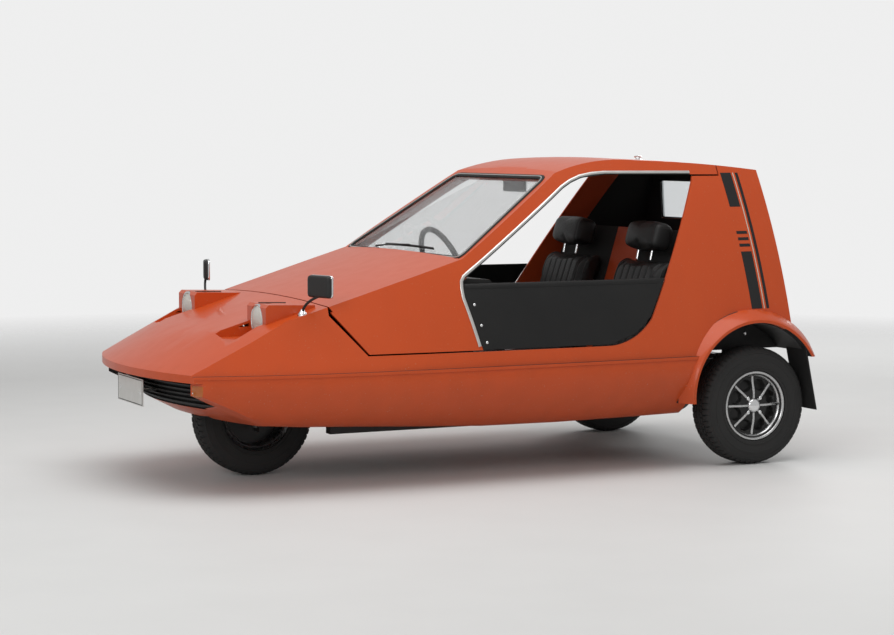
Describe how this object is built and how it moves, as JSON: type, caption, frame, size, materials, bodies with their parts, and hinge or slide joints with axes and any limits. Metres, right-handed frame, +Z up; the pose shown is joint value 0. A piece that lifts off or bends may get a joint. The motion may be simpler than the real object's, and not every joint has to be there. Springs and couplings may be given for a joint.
{
  "type": "three-wheeled microcar",
  "caption": "Low wedge-shaped three-wheeler for two people, with one steered wheel under the nose, a forward-tipping canopy, black side screens and a cut-off tail with a small boot lid.",
  "frame": {"origin": "middle of the footprint on the ground", "axes": "+X to the rear, +Y to the car's right, +Z up"},
  "size_m": [2.794, 1.397, 1.2699],
  "materials": {
    "orange_gelcoat": "glossy pigmented moulding",
    "orange_satin": "satin inside face",
    "black_moulding": "grained black",
    "black_vinyl": "stitched leathercloth",
    "chrome": "polished plate",
    "alloy": "turned and lacquered",
    "steel": "bare",
    "black_steel": "chassis black",
    "cast": "rough cast",
    "tyre": "moulded",
    "rubber": "moulded sheet",
    "clear": "laminated pane",
    "lamp": "fluted lens",
    "red_lens": "moulded lens",
    "amber_lens": "moulded lens",
    "plate_white": "blank plate"
  },
  "bodies": {
    "body": {"hull": "orange_gelcoat", "nose_deck": "orange_gelcoat", "rear_body": "orange_gelcoat", "rear_window": "clear", "hinge_brackets": "steel", "headlamps": "lamp", "corner_lamps": "amber_lens", "tail_lamps": "red_lens", "nose_grille": "black_moulding", "front_plate": "plate_white", "door_mirrors": "chrome", "mud_flaps": "rubber", "wheel_house_front": "black_moulding", "wheel_houses_rear": "black_moulding", "footwell_moulding": "black_moulding", "rear_bulkhead": "orange_satin", "luggage_floor": "black_moulding", "dashboard": "black_moulding", "steering_column": "black_steel", "seat_left": "black_vinyl", "seat_right": "black_vinyl", "seat_bases": "black_moulding", "head_rests": "black_vinyl", "cabin_levers": "chrome", "chassis_frame": "black_steel", "engine_block": "cast", "exhaust": "steel", "rear_axle": "black_steel", "rear_springs": "black_steel", "front_arm": "black_steel", "front_spring": "black_steel"},
    "canopy": {"canopy_shell": "orange_gelcoat", "windscreen": "clear", "side_screen_left": "black_moulding", "side_screen_right": "black_moulding", "hinge_arms": "steel", "wiper": "black_steel", "roof_catch": "chrome", "inside_mirror": "black_moulding"},
    "boot_lid": {"boot_lid": "orange_gelcoat", "rear_plate": "plate_white"},
    "steer": {"front_knuckle": "cast"},
    "front_wheel": {"tyre_front": "tyre", "rim_front": "alloy"},
    "rear_wheel_left": {"tyre_rear_left": "tyre", "rim_rear_left": "alloy"},
    "rear_wheel_right": {"tyre_rear_right": "tyre", "rim_rear_right": "alloy"},
    "steering_wheel": {"steering_wheel": "black_moulding"}
  },
  "joints": [
    {"name": "canopy_hinge", "type": "hinge", "parent": "body", "child": "canopy", "pos_m": [-0.855, 0, 0.665], "axis": [0, -1, 0], "range_deg": [0, 42]},
    {"name": "boot_lid_hinge", "type": "hinge", "parent": "body", "child": "boot_lid", "pos_m": [1.298, 0, 0.927], "axis": [0, -1, 0], "range_deg": [0, 80]},
    {"name": "steer", "type": "hinge", "parent": "body", "child": "steer", "pos_m": [-0.848, -0.062, 0.243], "axis": [0, 0, 1], "range_deg": [-35, 35]},
    {"name": "front_wheel_spin", "type": "hinge", "parent": "steer", "child": "front_wheel", "pos_m": [-0.848, 0, 0.243], "axis": [0, 1, 0], "continuous": true},
    {"name": "rear_wheel_left_spin", "type": "hinge", "parent": "body", "child": "rear_wheel_left", "pos_m": [1.12, -0.592, 0.243], "axis": [0, 1, 0], "continuous": true},
    {"name": "rear_wheel_right_spin", "type": "hinge", "parent": "body", "child": "rear_wheel_right", "pos_m": [1.12, 0.592, 0.243], "axis": [0, 1, 0], "continuous": true},
    {"name": "steering_wheel_turn", "type": "hinge", "parent": "body", "child": "steering_wheel", "pos_m": [0.15, 0.3, 0.79], "axis": [-0.9272, 0, -0.3746], "range_deg": [-420, 420]}
  ],
  "couplings": [
    {"joint": "steering_wheel_turn", "follows": "steer", "ratio": -12}
  ]
}
